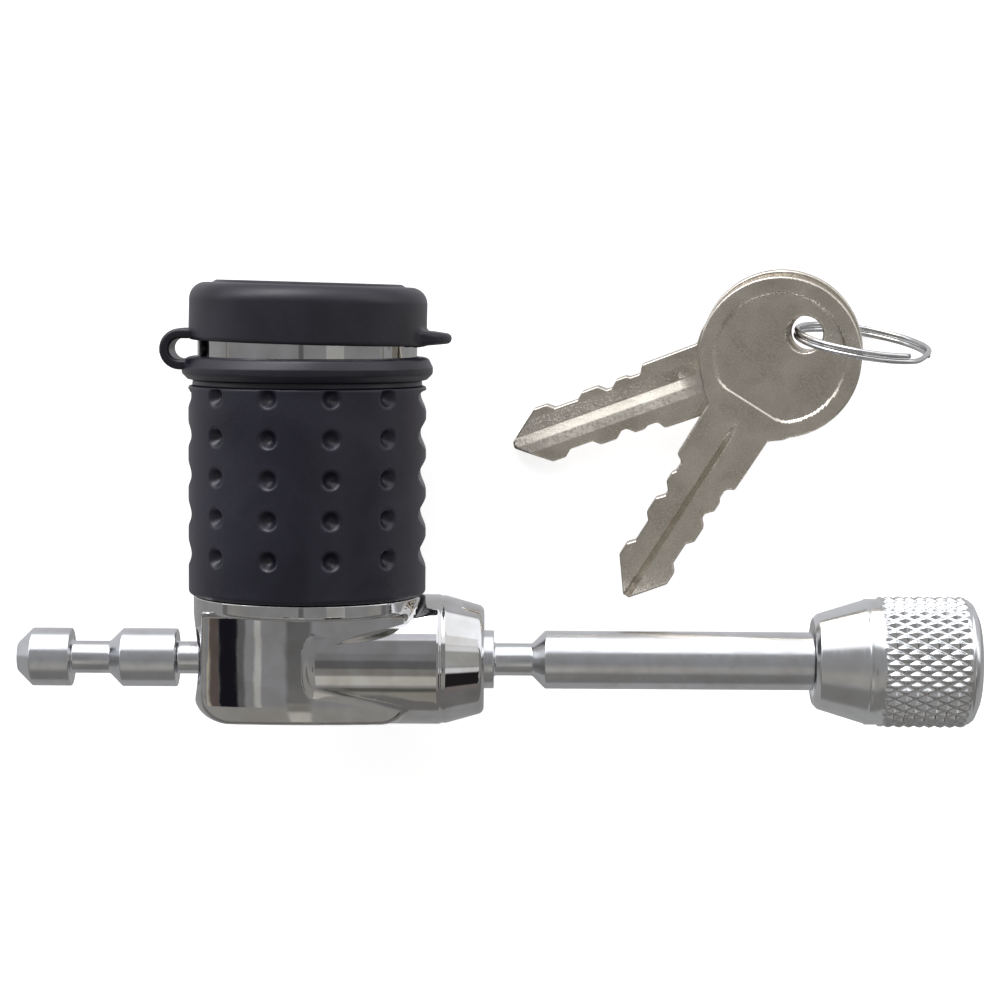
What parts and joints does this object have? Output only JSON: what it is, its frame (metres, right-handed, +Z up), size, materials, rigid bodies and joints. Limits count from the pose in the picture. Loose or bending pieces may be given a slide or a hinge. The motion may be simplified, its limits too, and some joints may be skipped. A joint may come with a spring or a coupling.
{
  "type": "hitch pin lock",
  "caption": "Right-angle trailer hitch pin lock: a grooved pin with a knurled knob slides through a chromed keyed body with a rubber grip and hinged dust cap, beside its keys on a ring.",
  "frame": {"origin": "on the pin's axis, in the middle of its plain shank, where the latch sits", "axes": "+X along the pin from its grooved tip to its knob, +Y up the lock body towards its dust cap, +Z up from the table the set lies on"},
  "size_m": [0.1155, 0.055, 0.03],
  "materials": {
    "chrome": "bright chrome plate on a zinc casting",
    "grip_rubber": "satin moulded rubber with round dimples",
    "cap_rubber": "satin moulded rubber",
    "seal_rubber": "matt O-ring rubber",
    "brass": "machined brass",
    "steel": "plain machined steel",
    "stainless": "brushed stainless sheet",
    "pin_steel": "turned, bright satin plate",
    "knob_steel": "turned and diamond-knurled, bright plate",
    "ring_steel": "bright spring wire",
    "nickel": "nickel-plated brass, stamped and tumbled"
  },
  "bodies": {
    "lock_body": {"housing": "chrome", "grip_sleeve": "grip_rubber", "cap_ring": "cap_rubber", "cap_strap": "cap_rubber", "lock_barrel": "brass", "barrel_pin": "steel", "face_plate": "stainless", "nose_seal": "seal_rubber", "tail_seal": "seal_rubber", "bolt_spring": "steel"},
    "pin": {"pin_shank": "pin_steel", "pin_knob": "knob_steel"},
    "plug": {"plug": "brass", "plug_clip": "steel", "plug_cam": "steel", "cam_pin": "steel", "wafer_1": "brass", "wafer_2": "brass", "wafer_3": "brass", "wafer_4": "brass", "wafer_5": "brass", "wafer_6": "brass", "wafer_springs": "steel"},
    "bolt": {"bolt": "steel", "bolt_cross_pin": "steel"},
    "cap": {"dust_cap": "cap_rubber"},
    "key_ring": {"split_ring": "ring_steel"},
    "key_1": {"key_1": "nickel"},
    "key_2": {"key_2": "nickel"}
  },
  "joints": [
    {"name": "pin_slide", "type": "slide", "parent": "lock_body", "child": "pin", "axis": [1, 0, 0], "range_m": [-0.0254, 0.075]},
    {"name": "plug_turn", "type": "hinge", "parent": "lock_body", "child": "plug", "pos_m": [-0.04475, 0.03, 0], "axis": [0, 1, 0], "range_deg": [-90, 0]},
    {"name": "bolt_slide", "type": "slide", "parent": "lock_body", "child": "bolt", "axis": [0, 1, 0], "range_m": [-0.00172, 0], "deforming": ["bolt_spring"]},
    {"name": "cap_hinge", "type": "hinge", "parent": "lock_body", "child": "cap", "pos_m": [-0.06015, 0.0369, 0], "axis": [0, 0, 1], "range_deg": [0, 135], "deforming": ["cap_strap"]},
    {"name": "keys_lift", "type": "slide", "parent": "lock_body", "child": "key_ring", "axis": [0, 0, 1], "range_m": [0, 0.05]},
    {"name": "key_1_swing", "type": "hinge", "parent": "key_ring", "child": "key_1", "pos_m": [0.01605, 0.0394, -0.0075], "axis": [-0.1082, -0.0876, 0.9903], "range_deg": [-15, 40]},
    {"name": "key_2_swing", "type": "hinge", "parent": "key_ring", "child": "key_2", "pos_m": [0.01545, 0.0394, -0.0075], "axis": [-0.1082, -0.0876, 0.9903], "range_deg": [-40, 10]}
  ],
  "couplings": [
    {"joint": "bolt_slide", "follows": "plug_turn", "m_per_rad": 0.0010823}
  ]
}
